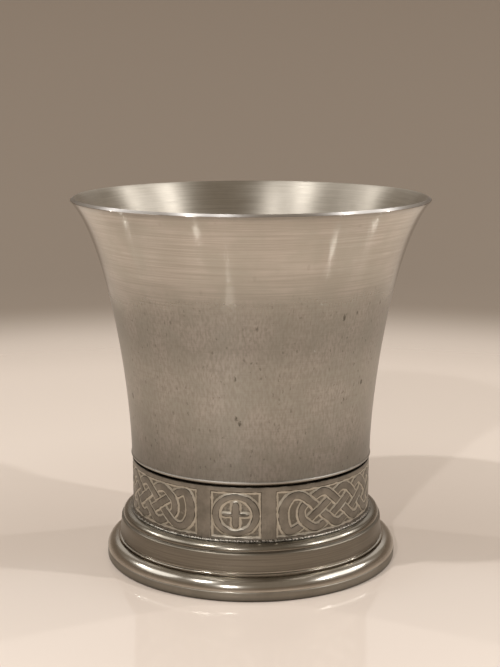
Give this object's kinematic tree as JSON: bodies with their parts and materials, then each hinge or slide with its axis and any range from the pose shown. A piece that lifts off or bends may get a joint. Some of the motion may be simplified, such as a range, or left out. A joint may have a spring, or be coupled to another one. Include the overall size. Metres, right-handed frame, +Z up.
{
  "type": "footed beaker",
  "caption": "Flared pewter drinking beaker: a spun bowl on a beaded, turned foot, with a raised band of interlace and ringed crosses round the foot's neck.",
  "frame": {"origin": "centre of the base, on the table", "axes": "+Z up along the axis of the bowl and foot, -Y towards a ringed cross of the band, which is the front"},
  "size_m": [0.088, 0.088, 0.0908],
  "materials": {
    "satin_pewter": "satin, spun, with fine level turning lines and small pits",
    "cast_pewter": "cast relief, satin flats over darker sunk floors",
    "polished_pewter": "turned and polished, with light scratches",
    "solder": "bright, a little granular"
  },
  "bodies": {
    "root": {"bowl": "satin_pewter", "ornament_band": "cast_pewter", "foot": "polished_pewter", "base_plate": "satin_pewter", "bowl_solder": "solder", "band_solder": "solder", "base_plate_solder": "solder"}
  },
  "joints": []
}
